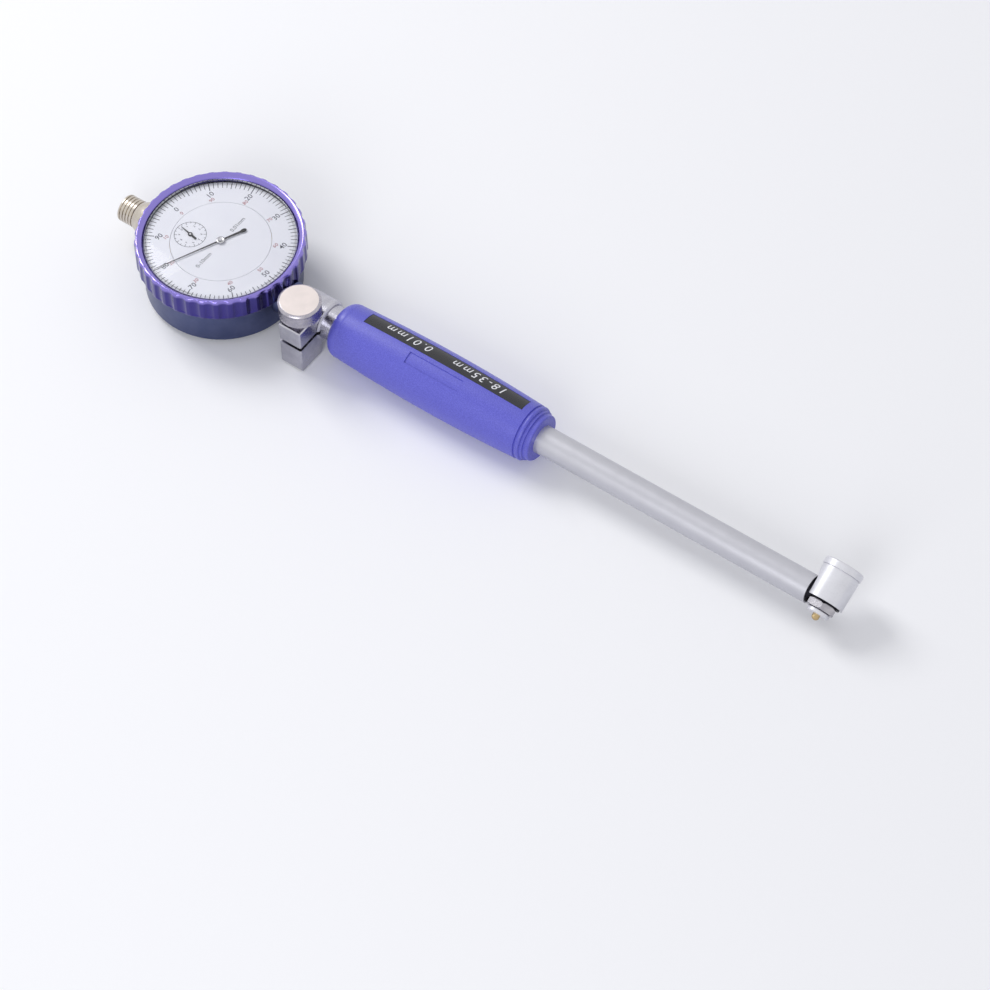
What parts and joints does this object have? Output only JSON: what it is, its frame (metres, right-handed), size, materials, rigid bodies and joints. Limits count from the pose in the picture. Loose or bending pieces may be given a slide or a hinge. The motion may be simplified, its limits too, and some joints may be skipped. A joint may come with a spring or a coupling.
{
  "type": "dial bore gauge",
  "caption": "Dial bore gauge: dial indicator clamped in a gripped tube whose push rod and bell crank carry the plunger's travel from a tilted measuring head to the pointer",
  "frame": {"origin": "centre of the indicator's flat back cover, on the surface the gauge rests on, in the middle of the dial", "axes": "+X along the gauge from the dial to the measuring head, +Z square to the dial's face, +Y to the far side, where the head's bridge points"},
  "size_m": [0.2951, 0.0588, 0.0284],
  "materials": {
    "case_metal": "satin",
    "bezel_metal": "satin",
    "cover_metal": "satin",
    "screw_steel": "satin",
    "clear_window": "gloss",
    "dial_white": "matte",
    "pointer_black": "satin",
    "movement_brass": "satin",
    "movement_steel": "polished",
    "spring_steel": "satin",
    "stem_steel": "polished",
    "cap_nickel": "satin",
    "clamp_steel": "satin",
    "knob_metal": "satin",
    "grip_plastic": "fine grain",
    "label_black": "satin",
    "tube_chrome": "satin",
    "head_steel": "satin",
    "tip_carbide": "polished"
  },
  "bodies": {
    "gauge_body": {"clamp_collar": "clamp_steel", "grip": "grip_plastic", "range_label": "label_black", "outer_tube": "tube_chrome", "upper_rod_bush": "movement_brass", "lower_rod_bush": "movement_brass", "rod_spring": "spring_steel", "head_body": "head_steel", "crank_pin": "movement_steel", "plunger_bush": "movement_brass", "bridge_stop_screw": "screw_steel", "bridge_spring": "spring_steel"},
    "indicator": {"indicator_case": "case_metal", "back_cover": "cover_metal", "back_cover_screws": "screw_steel", "top_neck": "cap_nickel", "retaining_wire": "spring_steel", "stem": "stem_steel", "stem_bush": "movement_brass", "top_bush": "movement_brass", "dust_cap": "cap_nickel", "main_plate": "movement_brass", "plate_screws": "screw_steel", "plate_pillars": "movement_brass", "upper_plate": "movement_brass", "pillar_screws": "screw_steel", "pinion_cock": "movement_brass", "hairspring_stud": "movement_brass", "hairspring": "spring_steel", "fixed_dial": "dial_white", "spring_post": "movement_steel", "spindle_guide": "movement_brass", "spindle_spring": "spring_steel"},
    "bezel_set": {"bezel": "bezel_metal", "crystal": "clear_window", "dial_spacer": "cover_metal", "dial_clip": "cover_metal", "dial_ring": "dial_white"},
    "spindle_set": {"spindle": "movement_steel", "guide_pin": "movement_steel", "spring_arm": "movement_steel", "contact_point": "movement_steel"},
    "first_arbor": {"rack_pinion": "movement_steel", "first_wheel": "movement_brass"},
    "centre_arbor": {"centre_pinion": "movement_steel", "main_pointer": "pointer_black"},
    "counting_arbor": {"counter_wheel": "movement_brass", "counter_arbor": "movement_steel", "counter_pointer": "pointer_black"},
    "rod": {"push_rod": "movement_steel", "rod_pad": "movement_steel", "rod_clip": "spring_steel"},
    "crank": {"bell_crank": "movement_steel"},
    "plunger_set": {"plunger": "movement_steel", "contact_ball": "movement_steel"},
    "bridge": {"centring_bridge": "head_steel"},
    "clamping_screw": {"clamp_screw": "knob_metal"},
    "nut": {"lock_nut": "clamp_steel"},
    "anvil_set": {"anvil": "head_steel", "anvil_tip": "tip_carbide"}
  },
  "joints": [
    {"name": "rod_slide", "type": "slide", "parent": "gauge_body", "child": "rod", "axis": [-1, 0, 0], "range_m": [0, 0.001], "stiffness_N_per_m": 400, "springref_m": -0.004, "deforming": ["rod_spring"]},
    {"name": "plunger_slide", "type": "slide", "parent": "gauge_body", "child": "plunger_set", "axis": [0, -0.8988, -0.4384], "range_m": [0, 0.001]},
    {"name": "crank_swing", "type": "hinge", "parent": "gauge_body", "child": "crank", "pos_m": [0.2425, 0.00288, 0.0124], "axis": [0, 0.4384, -0.8988], "range_deg": [0, 17.91]},
    {"name": "indicator_slide", "type": "slide", "parent": "gauge_body", "child": "indicator", "axis": [-1, 0, 0], "range_m": [0, 0.006]},
    {"name": "spindle_slide", "type": "slide", "parent": "indicator", "child": "spindle_set", "axis": [-1, 0, 0], "range_m": [0, 0.001], "deforming": ["spindle_spring"]},
    {"name": "first_arbor_turn", "type": "hinge", "parent": "indicator", "child": "first_arbor", "pos_m": [0.01047, -0.00319, 0.011], "axis": [0, 0, 1], "range_deg": [0, 36.1]},
    {"name": "pointer_turn", "type": "hinge", "parent": "indicator", "child": "centre_arbor", "pos_m": [0, 0, 0.0148], "axis": [0, 0, -1], "range_deg": [0, 360.1]},
    {"name": "counter_turn", "type": "hinge", "parent": "indicator", "child": "counting_arbor", "pos_m": [-0.01035, -0.00356, 0.0148], "axis": [0, 0, 1], "range_deg": [0, 36.1], "deforming": ["hairspring"]},
    {"name": "bezel_turn", "type": "hinge", "parent": "indicator", "child": "bezel_set", "pos_m": [0, 0, 0.02], "axis": [0, 0, 1], "continuous": true},
    {"name": "bridge_slide", "type": "slide", "parent": "gauge_body", "child": "bridge", "axis": [0, -0.8988, -0.4384], "range_m": [0, 0.0025], "stiffness_N_per_m": 900, "springref_m": -0.003, "deforming": ["bridge_spring"]},
    {"name": "clamp_screw_turn", "type": "hinge", "parent": "gauge_body", "child": "clamping_screw", "pos_m": [0.04115, -0.0095, 0.02], "axis": [0, 0, 1], "range_deg": [0, 270]},
    {"name": "lock_nut_turn", "type": "hinge", "parent": "gauge_body", "child": "nut", "pos_m": [0.2457, -0.00315, 0.00947], "axis": [0, 0.8988, 0.4384], "range_deg": [0, 180]},
    {"name": "anvil_turn", "type": "hinge", "parent": "gauge_body", "child": "anvil_set", "pos_m": [0.2457, -0.00539, 0.00837], "axis": [0, 0.8988, 0.4384], "range_deg": [0, 180]}
  ],
  "couplings": [
    {"joint": "plunger_slide", "follows": "rod_slide", "ratio": 1},
    {"joint": "crank_swing", "follows": "rod_slide", "rad_per_m": 312.5},
    {"joint": "spindle_slide", "follows": "rod_slide", "ratio": 1},
    {"joint": "first_arbor_turn", "follows": "rod_slide", "rad_per_m": 628.32},
    {"joint": "pointer_turn", "follows": "rod_slide", "rad_per_m": 6283.2},
    {"joint": "counter_turn", "follows": "rod_slide", "rad_per_m": 628.32}
  ]
}
